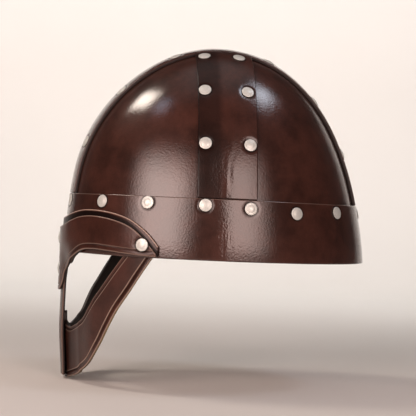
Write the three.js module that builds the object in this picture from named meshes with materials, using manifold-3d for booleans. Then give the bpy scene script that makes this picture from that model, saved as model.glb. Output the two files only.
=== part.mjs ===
// Leather spangenhelm of the Vendel kind, in millimetres, +Z up.
// The wearer looks along -X and the wearer's left is -Y. The origin is the middle of the head
// opening, on the plane of the band's lower rim.
import * as THREE from "three";
import { mergeVertices } from "three/addons/utils/BufferGeometryUtils.js";
import Module from "manifold-3d";

const wasm = await Module();
wasm.setup();

// Driving dimensions
const CROWN_HEIGHT = 165.5;
const BAND_HEIGHT = 45.3;
const PANEL_TUCK = 19; // how far the dome panels reach down behind the band
const CREST_WIDTH = 42;
const SIDE_STRAP_WIDTH = 44.5;
const SHELL_LEATHER = 2.5; // band, straps and dome panels
const FACE_LEATHER = 1.8; // brow guard and nose guard
const EYE_LEATHER = 2.4;
const LAYER_GAP = 0.4;
const SEAM_GAP = 0.4;

// The skin is the outer face of the band and the straps. Its reach from the axis grows from these
// rows: at a rise angle, the true reach is the number here times the cosine of the rise.
const SPANS = [
  { rise: 0, front: 115.9, rear: 121.9, side: 95.0 },
  { rise: 15, front: 118.6, rear: 119.0, side: 94.5 },
  { rise: 30, front: 123.2, rear: 118.9, side: 94.0 },
  { rise: 45, front: 125.1, rear: 120.8, side: 94.5 },
  { rise: 60, front: 124.5, rear: 123.2, side: 95.5 },
  { rise: 75, front: 123.8, rear: 127.5, side: 96.5 },
  { rise: 90, front: 124.0, rear: 130.0, side: 97.0 },
];

// Below the rim the face pieces hang straight down, bent tighter over the nose and leaning in at
// the chin.
const NOSE_BEND = { perSquare: 0.0078, from: 10, full: -15, flatTo: 14, goneAt: 36 };
const CHIN_LEAN = { in: 3.2, from: -55, full: -105 };

// Edges of the face pieces, left half, as turns from the front in degrees and heights.
const BROW_SECTIONS = [
  { upperTurn: 0, upper: 18.6, lowerTurn: 0, lower: -31 },
  { upperTurn: 4.5, upper: 18.8, lowerTurn: 5, lower: -29.6 },
  { upperTurn: 8.5, upper: 19.3, lowerTurn: 8.2, lower: -24 },
  { upperTurn: 13, upper: 21, lowerTurn: 10.6, lower: -15 },
  { upperTurn: 18.9, upper: 23.8, lowerTurn: 17, lower: -8.5 },
  { upperTurn: 26.3, upper: 27, lowerTurn: 24, lower: -1.9 },
  { upperTurn: 32, upper: 28.3, lowerTurn: 30, lower: 2.8 },
  { upperTurn: 38, upper: 28.4, lowerTurn: 37, lower: 4 },
  { upperTurn: 45, upper: 26.9, lowerTurn: 44.5, lower: 3.4 },
  { upperTurn: 51.7, upper: 23.8, lowerTurn: 51.5, lower: 2.4 },
  { upperTurn: 56.4, upper: 19.3, lowerTurn: 56.5, lower: 1.8 },
  { upperTurn: 60.8, upper: 12, lowerTurn: 61, lower: 1.3 },
  { upperTurn: 64.9, upper: 2.8, lowerTurn: 65, lower: 1 },
];
const NOSE_TOP = -10;
const NOSE_BROW_SECTIONS = [
  { upperTurn: 0, upper: 26, lowerTurn: 0, lower: NOSE_TOP },
  { upperTurn: 5, upper: 26.3, lowerTurn: 4.8, lower: NOSE_TOP },
  { upperTurn: 10.5, upper: 27.3, lowerTurn: 9.6, lower: NOSE_TOP },
  { upperTurn: 18.1, upper: 30, lowerTurn: 17, lower: -7.8 },
  { upperTurn: 25.9, upper: 32.4, lowerTurn: 24, lower: -1.3 },
  { upperTurn: 32, upper: 33.2, lowerTurn: 30, lower: 3.3 },
  { upperTurn: 39, upper: 32.9, lowerTurn: 37, lower: 4.5 },
  { upperTurn: 46, upper: 31.3, lowerTurn: 44.5, lower: 3.9 },
  { upperTurn: 52.7, upper: 27.9, lowerTurn: 51.5, lower: 2.9 },
  { upperTurn: 57.4, upper: 23.1, lowerTurn: 56.5, lower: 2.3 },
  { upperTurn: 61.7, upper: 16.6, lowerTurn: 61, lower: 1.8 },
  { upperTurn: 65.4, upper: 8.6, lowerTurn: 65.4, lower: 1.4 },
];
const NOSE_STRIP = [
  { height: NOSE_TOP, halfTurn: 9.6 },
  { height: -25, halfTurn: 7.6 },
  { height: -50, halfTurn: 7.3 },
  { height: -75, halfTurn: 7 },
  { height: -97, halfTurn: 6.2 },
];
const EYE_SECTIONS = [
  { upperTurn: 0, upper: -47.6, lowerTurn: 0, lower: -99.3 },
  { upperTurn: 3, upper: -48.2, lowerTurn: 4.5, lower: -99 },
  { upperTurn: 4.4, upper: -55, lowerTurn: 8, lower: -98 },
  { upperTurn: 9.8, upper: -58.8, lowerTurn: 13, lower: -96 },
  { upperTurn: 15.7, upper: -56.1, lowerTurn: 21, lower: -92.5 },
  { upperTurn: 24.2, upper: -50.9, lowerTurn: 31, lower: -82 },
  { upperTurn: 29.8, upper: -42, lowerTurn: 38.6, lower: -67.2 },
  { upperTurn: 34.8, upper: -32.2, lowerTurn: 43.5, lower: -52.5 },
  { upperTurn: 39.1, upper: -23.6, lowerTurn: 47.5, lower: -40.3 },
  { upperTurn: 45, upper: -10.5, lowerTurn: 53.2, lower: -25.7 },
  { upperTurn: 49.3, upper: -0.7, lowerTurn: 57.5, lower: -13.5 },
  { upperTurn: 57.5, upper: 18, lowerTurn: 66, lower: 10 },
];

// Double-cap rivets
const RIVET = {
  cap: 9.4,
  dome: 0.9,
  shank: 3,
  seat: 0.3, // clear of the leather's outer face
  backCap: 8,
  backSeat: 1, // clear of the leather's inner face
  sides: 7,
};
const BORE = { across: 4.6, length: 30, sides: 4 };
const STRAP_RIVET_ROWS = [
  { height: 86, fore: -17, aft: 16.5 },
  { height: 127, fore: -17, aft: 15.5 },
  { height: 156, fore: -15.5, aft: 11.5 },
];
const CREST_RIVET_OFFSET = 14.5;
const BAND_RIVETS = [
  { turn: 8.7, height: 40 },
  { turn: 38.2, height: 40 },
  { turn: 59.8, height: 40.5 },
  { turn: 81.9, height: 40.3 },
  { turn: 98.6, height: 39 },
  { turn: 117.2, height: 37 },
  { turn: 139.5, height: 39 },
  { turn: 170.9, height: 39 },
];
const BROW_RIVETS = [
  { name: "front", turn: 0, height: 10, innermost: "strap" },
  { name: "nose", turn: 0, height: -14, innermost: "nose" },
  { name: "left", turn: 59.5, height: 9.2, innermost: "eye" },
  { name: "right", turn: -59.5, height: 9.2, innermost: "eye" },
];

// Number of steps along and across each sheet
const STEPS = {
  panelTurn: 9,
  panelRise: 8,
  band: 52,
  bandRows: 2,
  crest: 32,
  sideStrap: 12,
  strapAcross: 4,
  perSection: 2,
  browRows: 3,
  noseRows: 6,
  eyeRows: 2,
};

// Offsets of the leather layers from the skin
const LAYERS = {
  strap: { outer: 0, inner: -SHELL_LEATHER },
  panel: { outer: -SHELL_LEATHER - LAYER_GAP, inner: -2 * SHELL_LEATHER - LAYER_GAP },
  eye: { outer: -SHELL_LEATHER - LAYER_GAP, inner: -SHELL_LEATHER - LAYER_GAP - EYE_LEATHER },
  nose: { outer: LAYER_GAP + FACE_LEATHER, inner: LAYER_GAP },
  brow: { outer: 2 * (LAYER_GAP + FACE_LEATHER), inner: 2 * LAYER_GAP + FACE_LEATHER },
};

const { degToRad, lerp, smoothstep } = THREE.MathUtils;
const QUARTER_TURN = Math.PI / 2;
const STRAP_FOOT = BAND_HEIGHT + SEAM_GAP;

// The skin as a surface

const spanCurve = new THREE.CatmullRomCurve3(
  SPANS.map((row) => new THREE.Vector3(row.front, row.rear, row.side)),
  false,
  "catmullrom",
);

function riseOf(height) {
  return height > 0 ? Math.asin(height / CROWN_HEIGHT) : height / CROWN_HEIGHT;
}

// Reaches of the skin from the axis at a rise angle.
function reaches(rise) {
  const domed = THREE.MathUtils.clamp(rise, 0, QUARTER_TURN);
  const span = spanCurve.getPoint(domed / QUARTER_TURN);
  const shrink = Math.cos(Math.max(rise, 0));
  return { front: span.x * shrink, rear: span.y * shrink, side: span.z * shrink };
}

function noseBend(y, height) {
  const low = 1 - smoothstep(height, NOSE_BEND.full, NOSE_BEND.from);
  const central = 1 - smoothstep(Math.abs(y), NOSE_BEND.flatTo, NOSE_BEND.goneAt);
  return NOSE_BEND.perSquare * y * y * low * central;
}

function chinLean(height) {
  return CHIN_LEAN.in * (1 - smoothstep(height, CHIN_LEAN.full, CHIN_LEAN.from));
}

// A point of the skin. Turn is 0 at the front and grows towards the wearer's left.
function skinPoint(turn, rise) {
  const reach = reaches(rise);
  const isFront = Math.cos(turn) > 0;
  const x = -(isFront ? reach.front : reach.rear) * Math.cos(turn);
  const y = -reach.side * Math.sin(turn);
  const z = CROWN_HEIGHT * (rise > 0 ? Math.sin(rise) : rise);
  return new THREE.Vector3(isFront ? x + noseBend(y, z) + chinLean(z) : x, y, z);
}

function skinNormal(turn, rise) {
  const step = 1e-3;
  if (Math.cos(rise) < step) return new THREE.Vector3(0, 0, 1);
  const across = skinPoint(turn + step, rise).sub(skinPoint(turn - step, rise));
  const upward = skinPoint(turn, rise + step).sub(skinPoint(turn, rise - step));
  return across.cross(upward).normalize();
}

// The turn and rise of a dome point, and how far out it lies: 1 on the skin, less inside.
function locate(point) {
  const rise = riseOf(Math.min(point.z, CROWN_HEIGHT));
  const reach = reaches(rise);
  const along = -point.x / (point.x < 0 ? reach.front : reach.rear);
  const across = -point.y / reach.side;
  const outness = point.z < CROWN_HEIGHT ? Math.hypot(along, across) : Infinity;
  return { turn: Math.atan2(across, along), rise, outness };
}

// Where a ray from inside the dome meets the skin.
function meetSkin(origin, direction) {
  const halvings = 40;
  let inside = 0;
  let outside = 2 * CROWN_HEIGHT;
  const point = new THREE.Vector3();
  for (let count = 0; count < halvings; count++) {
    const middle = (inside + outside) / 2;
    point.copy(origin).addScaledVector(direction, middle);
    if (locate(point).outness < 1) inside = middle;
    else outside = middle;
  }
  return locate(point);
}

// Leather sheets

// Corners of a grid of steps, where at(s, t) gives a turn and a rise. Seen from outside, s runs to
// the right and t upwards.
function grid(along, across, at) {
  const cells = [];
  for (let i = 0; i < along; i++)
    for (let j = 0; j < across; j++)
      cells.push([
        at(i / along, j / across),
        at((i + 1) / along, j / across),
        at((i + 1) / along, (j + 1) / across),
        at(i / along, (j + 1) / across),
      ]);
  return cells;
}

// Corners that agree when counted in steps this fine are one corner.
const KEYS_PER_MM = 333;

// A closed wall over cells of the skin, from a layer's outer to its inner offset.
function sheet(cells, layer) {
  const numbers = new Map();
  const outer = [];
  const inner = [];
  function corner({ turn, rise }) {
    const point = skinPoint(turn, rise);
    const key = point.toArray().map((value) => Math.round(value * KEYS_PER_MM)).join();
    if (!numbers.has(key)) {
      const normal = skinNormal(turn, rise);
      numbers.set(key, outer.length);
      outer.push(point.clone().addScaledVector(normal, layer.outer));
      inner.push(point.clone().addScaledVector(normal, layer.inner));
    }
    return numbers.get(key);
  }
  const faces = [];
  for (const cell of cells) {
    const [a, b, c, d] = cell.map(corner);
    const halves = [[a, b, c], [a, c, d]];
    faces.push(...halves.filter((face) => new Set(face).size === face.length));
  }
  const depth = outer.length;
  const edges = new Set(faces.flatMap(([a, b, c]) => [`${a},${b}`, `${b},${c}`, `${c},${a}`]));
  const triangles = faces.flatMap(([a, b, c]) => [a, b, c, a + depth, c + depth, b + depth]);
  for (const edge of edges) {
    const [a, b] = edge.split(",").map(Number);
    if (!edges.has(`${b},${a}`)) triangles.push(b, a, a + depth, b, a + depth, b + depth);
  }
  const vertProperties = new Float32Array([...outer, ...inner].flatMap((point) => point.toArray()));
  return new wasm.Manifold(
    new wasm.Mesh({ numProp: 3, vertProperties, triVerts: new Uint32Array(triangles) }),
  );
}

// Any closed three.js geometry as a solid.
function solid(geometry, matrix) {
  const bare = geometry.clone().applyMatrix4(matrix);
  bare.deleteAttribute("normal");
  bare.deleteAttribute("uv");
  const merged = mergeVertices(bare, 1e-4);
  return new wasm.Manifold(
    new wasm.Mesh({
      numProp: 3,
      vertProperties: new Float32Array(merged.attributes.position.array),
      triVerts: new Uint32Array(merged.index.array),
    }),
  );
}

function geometryOf(body) {
  const mesh = body.getMesh();
  const geometry = new THREE.BufferGeometry();
  geometry.setAttribute("position", new THREE.BufferAttribute(mesh.vertProperties, 3));
  geometry.setIndex(new THREE.BufferAttribute(mesh.triVerts, 1));
  geometry.computeVertexNormals();
  return geometry;
}

// The four quarters of the dome meet under the straps.
function panelCells(quarter) {
  const lowest = riseOf(BAND_HEIGHT - PANEL_TUCK);
  return grid(STEPS.panelTurn, STEPS.panelRise, (s, t) => ({
    turn: (quarter + s) * QUARTER_TURN,
    rise: lerp(lowest, QUARTER_TURN, t),
  }));
}

function bandCells() {
  return grid(STEPS.band, STEPS.bandRows, (s, t) => ({
    turn: s * 4 * QUARTER_TURN,
    rise: lerp(0, riseOf(BAND_HEIGHT), t),
  }));
}

// The crest strap runs from the front of the band over the crown to its rear.
function crestCells() {
  return grid(STEPS.strapAcross, STEPS.crest, (s, t) => {
    const angle = t * 2 * QUARTER_TURN;
    return meetSkin(
      new THREE.Vector3(0, (0.5 - s) * CREST_WIDTH, STRAP_FOOT),
      new THREE.Vector3(-Math.cos(angle), 0, Math.sin(angle)),
    );
  });
}

// A side strap runs from the band up to the edge of the crest strap. Hand is 1 on the left.
function sideStrapCells(hand) {
  const top = CREST_WIDTH / 2 + SEAM_GAP;
  return grid(STEPS.strapAcross, STEPS.sideStrap, (s, t) => {
    const x = hand * (s - 0.5) * SIDE_STRAP_WIDTH;
    const end = meetSkin(new THREE.Vector3(x, -hand * top, STRAP_FOOT), new THREE.Vector3(0, 0, 1));
    const endAngle = Math.atan2(CROWN_HEIGHT * Math.sin(end.rise) - STRAP_FOOT, top);
    const angle = t * endAngle;
    return meetSkin(
      new THREE.Vector3(x, 0, STRAP_FOOT),
      new THREE.Vector3(0, -hand * Math.cos(angle), Math.sin(angle)),
    );
  });
}

// The lower and upper edge of a face piece as curves of turn and height, mirrored about the nose.
function faceEdges(sections) {
  const mirrored = [
    ...sections.slice(1).reverse().map((row) => ({ ...row, side: -1 })),
    ...sections.map((row) => ({ ...row, side: 1 })),
  ];
  const edge = (turnName, heightName) =>
    new THREE.CatmullRomCurve3(
      mirrored.map((row) => new THREE.Vector3(row.side * degToRad(row[turnName]), row[heightName], 0)),
      false,
      "catmullrom",
    );
  return { lower: edge("lowerTurn", "lower"), upper: edge("upperTurn", "upper") };
}

function faceCells(sections, across) {
  const { lower, upper } = faceEdges(sections);
  const along = 2 * STEPS.perSection * (sections.length - 1);
  return grid(along, across, (s, t) => {
    const place = lower.getPoint(s).lerp(upper.getPoint(s), t);
    return { turn: place.x, rise: riseOf(place.y) };
  });
}

// The strip over the nose hangs from the middle sections of the brow's lower edge.
function noseCells() {
  const { lower } = faceEdges(NOSE_BROW_SECTIONS);
  const shape = new THREE.CatmullRomCurve3(
    NOSE_STRIP.map((row) => new THREE.Vector3(row.halfTurn, row.height, 0)),
    false,
    "catmullrom",
  );
  const half = NOSE_BROW_SECTIONS.findIndex((row) => row.lowerTurn === NOSE_STRIP[0].halfTurn);
  const share = half / (NOSE_BROW_SECTIONS.length - 1);
  return grid(2 * STEPS.perSection * half, STEPS.noseRows, (s, t) => {
    const hem = lower.getPoint(0.5 + (s - 0.5) * share);
    const row = shape.getPoint(1 - t);
    const turn = (hem.x * row.x) / NOSE_STRIP[0].halfTurn;
    return { turn, rise: riseOf(t === 1 ? hem.y : row.y) };
  });
}

// Rivets

// Each rivet's place on the skin and the layers that it holds together.
function rivetPlaces() {
  const places = [];
  function add(name, turn, rise, outermost, innermost) {
    const seat = LAYERS[outermost].outer;
    const grip = LAYERS[innermost].inner;
    places.push({ name: `rivet_${name}`, turn, rise, seat, grip });
  }
  for (const [side, hand] of [["left", 1], ["right", -1]]) {
    STRAP_RIVET_ROWS.forEach((row, index) => {
      const rise = riseOf(row.height);
      const reach = reaches(rise);
      const turns = {
        [`strap_${side}_fore`]: Math.acos(-row.fore / reach.front),
        [`strap_${side}_aft`]: Math.acos(-row.aft / reach.rear),
        [`crest_${side}_front`]: Math.asin(CREST_RIVET_OFFSET / reach.side),
        [`crest_${side}_rear`]: Math.PI - Math.asin(CREST_RIVET_OFFSET / reach.side),
      };
      for (const [column, turn] of Object.entries(turns))
        add(`${column}_${index + 1}`, hand * turn, rise, "strap", "panel");
    });
    BAND_RIVETS.forEach(({ turn, height }, index) =>
      add(`band_${side}_${index + 1}`, hand * degToRad(turn), riseOf(height), "strap", "panel"),
    );
  }
  for (const { name, turn, height, innermost } of BROW_RIVETS)
    add(`brow_${name}`, degToRad(turn), riseOf(height), "brow", innermost);
  return places;
}

function rivetPose({ turn, rise }) {
  const outward = skinNormal(turn, rise);
  const turned = new THREE.Quaternion().setFromUnitVectors(new THREE.Vector3(0, 1, 0), outward);
  return new THREE.Matrix4().compose(skinPoint(turn, rise), turned, new THREE.Vector3(1, 1, 1));
}

// A low cone of a cap, the shank, and a smaller cap inside.
function rivetGeometry({ seat, grip }) {
  const under = seat + RIVET.seat;
  const back = grip - RIVET.backSeat;
  const profile = [
    new THREE.Vector2(0, back - RIVET.dome),
    new THREE.Vector2(RIVET.backCap / 2, back),
    new THREE.Vector2(RIVET.shank / 2, back),
    new THREE.Vector2(RIVET.shank / 2, under),
    new THREE.Vector2(RIVET.cap / 2, under),
    new THREE.Vector2(0, under + RIVET.dome),
  ];
  return new THREE.LatheGeometry(profile, RIVET.sides);
}

function boreGeometry({ seat, grip }) {
  const bore = new THREE.CylinderGeometry(BORE.across / 2, BORE.across / 2, BORE.length, BORE.sides);
  return bore.translate(0, (seat + grip) / 2, 0);
}

// The whole helmet

const helmet = new THREE.Group();
const rivets = rivetPlaces();
const bores = wasm.Manifold.compose(rivets.map((rivet) => solid(boreGeometry(rivet), rivetPose(rivet))));
const seamCutters = [
  new THREE.BoxGeometry(SEAM_GAP, 3 * CROWN_HEIGHT, 3 * CROWN_HEIGHT),
  new THREE.BoxGeometry(3 * CROWN_HEIGHT, SEAM_GAP, 3 * CROWN_HEIGHT),
].map((box) => solid(box, new THREE.Matrix4()));

function addLeather(name, body) {
  const leather = new THREE.MeshStandardMaterial({ color: 0x3d211b, roughness: 0.38, metalness: 0 });
  const piece = new THREE.Mesh(geometryOf(body.subtract(bores)), leather);
  piece.name = name;
  helmet.add(piece);
}

function addRivet(rivet) {
  const nickel = new THREE.MeshStandardMaterial({ color: 0xd8cfc2, roughness: 0.3, metalness: 1 });
  const piece = new THREE.Mesh(rivetGeometry(rivet), nickel);
  piece.name = rivet.name;
  rivetPose(rivet).decompose(piece.position, piece.quaternion, piece.scale);
  helmet.add(piece);
}

["front_left", "rear_left", "rear_right", "front_right"].forEach((corner, quarter) => {
  const whole = sheet(panelCells(quarter), LAYERS.panel);
  addLeather(`panel_${corner}`, seamCutters.reduce((body, cutter) => body.subtract(cutter), whole));
});
addLeather("brow_band", sheet(bandCells(), LAYERS.strap));
addLeather("crest_strap", sheet(crestCells(), LAYERS.strap));
addLeather("side_strap_left", sheet(sideStrapCells(1), LAYERS.strap));
addLeather("side_strap_right", sheet(sideStrapCells(-1), LAYERS.strap));
const noseSheet = [...faceCells(NOSE_BROW_SECTIONS, STEPS.browRows), ...noseCells()];
addLeather("nose_guard", sheet(noseSheet, LAYERS.nose));
addLeather("brow_guard", sheet(faceCells(BROW_SECTIONS, STEPS.browRows), LAYERS.brow));
addLeather("eye_guard", sheet(faceCells(EYE_SECTIONS, STEPS.eyeRows), LAYERS.eye));
rivets.forEach(addRivet);

export default helmet;
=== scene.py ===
# Leather helmet of the Vendel kind: the dressed pieces, the studio stage and the camera.
# Sizes are in metres and angles in degrees. The wearer looks along -X, +Z is up, and the wearer's
# left is -Y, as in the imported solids.
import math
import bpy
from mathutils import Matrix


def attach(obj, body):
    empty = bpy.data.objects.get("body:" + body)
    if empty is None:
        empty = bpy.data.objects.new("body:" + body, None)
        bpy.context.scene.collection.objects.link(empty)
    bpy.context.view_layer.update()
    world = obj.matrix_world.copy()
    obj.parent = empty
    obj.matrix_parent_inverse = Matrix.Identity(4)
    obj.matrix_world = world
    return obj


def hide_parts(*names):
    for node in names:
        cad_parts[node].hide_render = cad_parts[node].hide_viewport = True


bl_info = {
    "name": "Leather helmet",
    "version": (1, 0, 0),
    "blender": (4, 5, 0),
    "location": "3D View > Sidebar > Helmet",
    "description": "A riveted leather helmet with brow, nose and eye guards, made piece by piece",
    "category": "Object",
}

import bpy
from mathutils import Matrix, Quaternion, Vector, noise
from mathutils.geometry import intersect_point_line
from mathutils.kdtree import KDTree

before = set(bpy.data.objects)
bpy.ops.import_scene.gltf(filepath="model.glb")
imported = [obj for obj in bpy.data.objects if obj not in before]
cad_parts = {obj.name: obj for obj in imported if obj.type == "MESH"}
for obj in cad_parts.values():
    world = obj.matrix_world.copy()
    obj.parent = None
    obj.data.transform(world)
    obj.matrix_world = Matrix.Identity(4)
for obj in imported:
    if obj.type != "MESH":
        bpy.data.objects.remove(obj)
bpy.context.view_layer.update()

# Shape of the skin, which is the outer face of the band and the straps
CROWN_HEIGHT = 0.1655
SPANS = (
    {"rise": 0, "front": 0.1159, "rear": 0.1219, "side": 0.0950},
    {"rise": 15, "front": 0.1186, "rear": 0.1190, "side": 0.0945},
    {"rise": 30, "front": 0.1232, "rear": 0.1189, "side": 0.0940},
    {"rise": 45, "front": 0.1251, "rear": 0.1208, "side": 0.0945},
    {"rise": 60, "front": 0.1245, "rear": 0.1232, "side": 0.0955},
    {"rise": 75, "front": 0.1238, "rear": 0.1275, "side": 0.0965},
    {"rise": 90, "front": 0.1240, "rear": 0.1300, "side": 0.0970},
)
# Towards its foot the face bends round the nose and leans in at the chin. The eye guard is also folded
# forward at the nose and hollow beside it, at distances from the middle.
NOSE_BEND = {"per_square": 7.8, "from": 0.010, "full": -0.015, "flat_to": 0.014, "gone_at": 0.036}
CHIN_LEAN = {"in": 0.0032, "from": -0.055, "full": -0.105}
EYE_FOLD = {"forward": 0.0017, "flat_to": 0.006, "gone_at": 0.032}
EYE_HOLLOW = {"depth": 0.0018, "middle": 0.038, "half": 0.017}

# Edges of the face pieces, left half: turns from the front and heights
BROW_SECTIONS = (
    {"upper": (0, 0.0186), "lower": (0, -0.0310)},
    {"upper": (4.5, 0.0188), "lower": (5, -0.0296)},
    {"upper": (8.5, 0.0193), "lower": (8.2, -0.0240)},
    {"upper": (13, 0.0210), "lower": (10.6, -0.0150)},
    {"upper": (18.9, 0.0238), "lower": (17, -0.0085)},
    {"upper": (26.3, 0.0270), "lower": (24, -0.0019)},
    {"upper": (32, 0.0283), "lower": (30, 0.0028)},
    {"upper": (38, 0.0284), "lower": (37, 0.0040)},
    {"upper": (45, 0.0269), "lower": (44.5, 0.0034)},
    {"upper": (51.7, 0.0238), "lower": (51.5, 0.0024)},
    {"upper": (56.4, 0.0193), "lower": (56.5, 0.0018)},
    {"upper": (60.8, 0.0120), "lower": (61, 0.0013)},
    {"upper": (64.9, 0.0028), "lower": (65, 0.0010)},
)
NOSE_TOP = -0.010
BACKING_SECTIONS = (
    {"upper": (0, 0.0260), "lower": (0, NOSE_TOP)},
    {"upper": (5, 0.0263), "lower": (4.8, NOSE_TOP)},
    {"upper": (10.5, 0.0273), "lower": (9.6, NOSE_TOP)},
    {"upper": (18.1, 0.0300), "lower": (17, -0.0078)},
    {"upper": (25.9, 0.0324), "lower": (24, -0.0013)},
    {"upper": (32, 0.0332), "lower": (30, 0.0033)},
    {"upper": (39, 0.0329), "lower": (37, 0.0045)},
    {"upper": (46, 0.0313), "lower": (44.5, 0.0039)},
    {"upper": (52.7, 0.0279), "lower": (51.5, 0.0029)},
    {"upper": (57.4, 0.0231), "lower": (56.5, 0.0023)},
    {"upper": (61.7, 0.0166), "lower": (61, 0.0018)},
    {"upper": (65.4, 0.0086), "lower": (65.4, 0.0014)},
)
NOSE_STRIP = (
    {"height": NOSE_TOP, "half_turn": 9.6},
    {"height": -0.025, "half_turn": 7.6},
    {"height": -0.050, "half_turn": 7.3},
    {"height": -0.075, "half_turn": 7.0},
    {"height": -0.097, "half_turn": 6.2},
)
EYE_SECTIONS = (
    {"upper": (0, -0.0476), "lower": (0, -0.0993)},
    {"upper": (3, -0.0482), "lower": (4.5, -0.0990)},
    {"upper": (4.4, -0.0550), "lower": (8, -0.0980)},
    {"upper": (9.8, -0.0588), "lower": (13, -0.0956)},
    {"upper": (15.7, -0.0561), "lower": (21, -0.0912)},
    {"upper": (24.2, -0.0509), "lower": (31, -0.0820)},
    {"upper": (29.8, -0.0420), "lower": (38.6, -0.0672)},
    {"upper": (34.8, -0.0322), "lower": (43.5, -0.0525)},
    {"upper": (39.1, -0.0236), "lower": (47.5, -0.0403)},
    {"upper": (45, -0.0105), "lower": (53.2, -0.0257)},
    {"upper": (49.3, -0.0007), "lower": (57.5, -0.0135)},
    {"upper": (57.5, 0.0180), "lower": (66, 0.0100)},
)

# Leather layers: offsets of the outer and inner face from the skin. Neighbours lie 0.05 mm apart, which
# shows as touching.
LAYERS = {
    "strap": {"outer": 0.0, "inner": -0.00285},
    "panel": {"outer": -0.0029, "inner": -0.0054},
    "eye": {"outer": -0.0029, "inner": -0.0053},
    "nose": {"outer": 0.0022, "inner": 0.00005},
    "brow": {"outer": 0.0044, "inner": 0.00225},
}

# Rivets: heights, turns from the front, and places fore, aft and aside of the axis
STRAP_RIVET_ROWS = (
    {"height": 0.086, "fore": -0.0170, "aft": 0.0165},
    {"height": 0.127, "fore": -0.0170, "aft": 0.0155},
    {"height": 0.156, "fore": -0.0155, "aft": 0.0115},
)
CREST_RIVET_OFFSET = 0.0145
BAND_RIVETS = (
    {"turn": 8.7, "height": 0.0400},
    {"turn": 38.2, "height": 0.0400},
    {"turn": 59.8, "height": 0.0405},
    {"turn": 81.9, "height": 0.0403},
    {"turn": 98.6, "height": 0.0390},
    {"turn": 117.2, "height": 0.0370},
    {"turn": 139.5, "height": 0.0390},
    {"turn": 170.9, "height": 0.0390},
)
BROW_RIVETS = (
    {"turn": 0, "height": 0.0100, "innermost": "strap"},
    {"turn": 0, "height": -0.0140, "innermost": "nose"},
    {"turn": 59.5, "height": 0.0092, "innermost": "eye"},
    {"turn": -59.5, "height": 0.0092, "innermost": "eye"},
)

# A cap's dome: levels as shares of its height, and the faint ring as shares of its radius
CAP_DOME = {"rim_level": 0.35, "ring_depth": 0.18, "ring_at": 0.66, "ring_half": 0.15}
# Segments and rings that the two caps are drawn with
CAP_FACES = {"outer": (28, 20), "back": (16, 8)}
SHANK_SIDES = 12

QUARTER_TURN = math.pi / 2
SEAM_GAP = 0.0004
PANEL_TUCK = 0.019

# How finely the pieces and their measured edges are drawn
STEPS = {
    "panel_round": 48,
    "panel_up": 44,
    "band_round": 601,
    "band_up": 36,
    "strap_across": 36,
    "crest_strap_along": 300,
    "side_strap_along": 110,
    "brow_along": 193,
    "brow_up": 16,
    "backing_wing_along": 70,
    "backing_up": 12,
    "backing_dye_and_shade": 6,
    "strip_along": 60,
    "strip_across": 21,
    "eye_along": 221,
    "eye_up": 12,
    "edge_of_section": 30,
    "edge_of_wing": 400,
    "edge_of_strip": 600,
    "edge_of_strip_end": 200,
}
# Corners that round to the same key, about 3 micrometres wide, are one vertex
KEYS_PER_METRE = 333000

# Tooling: distances from the cut edge
GROOVES = {"brow": 0.0036, "eye_lower": 0.0040, "eye_upper": 0.0028}
# The rubbed line along each cut edge, which also paints the edge's highlight
ARRIS = {"middle": 0.0003, "half": 0.0007, "end": 0.0010}
# The painted highlight on the far lip of a tooled line
GROOVE_LIP = {"beyond": 0.0005, "half": 0.0006}
# Half width of the painted shade in the bottom of a tooled line
GROOVE_SHADE_HALF = 0.0008
# Leather round a rivet is pressed in fully up to a share of the cap's radius and darkened partly as
# painted shade, with painted shade at the rim
DIMPLE = {"from": 0.9, "beyond_rim": 0.0024}
RIM_SHADE_TO = 0.0014
# The side straps' creases and flattened stretch: places along X and heights
STRAP_CREASE = {"depth": 0.00013, "wide": 0.0030, "long": 0.016, "middle": 0.0015, "half": 0.009}
STRAP_FLAT = {"depth": 0.00024, "middle": -0.007, "half": 0.011, "full_to": 0.090, "gone_at": 0.125}
# Strengths of the rubbed lines, which also paint highlights on arrises and groove lips, and of the
# black dye, which also paints shade, from 0 to 1
WEAR_AND_HIGHLIGHT = {
    "band": 0.15,
    "brow_upper": 0.45,
    "brow_lower": 0.4,
    "brow_groove": 0.3,
    "backing_upper": 0.9,
    "backing_rest": 0.3,
    "eye_upper": 0.35,
    "eye_lower": 0.7,
    "eye_upper_groove": 0.7,
    "eye_lower_groove": 0.85,
}
# The black dye also paints shade: at rivet rims, in grooves, behind the nose strip, on the straps and
# under the brow guard
DYE_AND_SHADE = {
    "strap": 0.1,
    "strap_front": 0.5,
    "strap_edge": 0.4,
    "rivet_rim": 0.75,
    "brow_groove": 0.5,
    "backing": 0.9,
    "eye_groove": 0.6,
    "eye_front": 0.95,
    "eye_fold": 0.5,
}
# Where dye, painted shade and bare edges lie: places along X, heights, turns and distances from the cut
# edge
STRAP_DARK_FRONT = {"full": -0.008, "gone": -0.002}
STRAP_EDGE_DYE_AND_SHADE_HALF = 0.0009
RAW_EDGE = {"foot": 0.4, "dark_to": -0.090, "bare_from": -0.050}
EYE_DARK_FRONT = {"full": 5.5, "gone": 7.0, "dulled_to": 24.0}
BACKING_DYE_AND_SHADE = {
    "margin": 0.0010,
    "growth": 0.0016,
    "grows_from": 40,
    "grown_at": 64,
    "soft": 0.0006,
    "lowest": -0.002,
    "drawn_from": 0.0014,
    "drawn_to": 0.0034,
}


# Second shades of the materials, and the studio's, as sRGB hex codes
SHADES = {
    # The leather pressed round the rivets, darkened partly as painted shade
    "pressed_and_shaded_leather": "150a08",
    "flesh": "15100d",
    "flesh_fibre": "2a1f1a",
    "dyed_edge_fibre": "2c1b17",
    "raw_edge_fibre": "75603c",
    "tarnish": "c2c4bc",
    "paper": "dcd9d4",
    "paper_patch": "e2dfda",
    "studio": "8c8a88",
}
# Fibres of the hide. Real ones are about 0.1 mm wide, so these are drawn coarser to show.
FIBRE_SIZE = 0.0008


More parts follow.
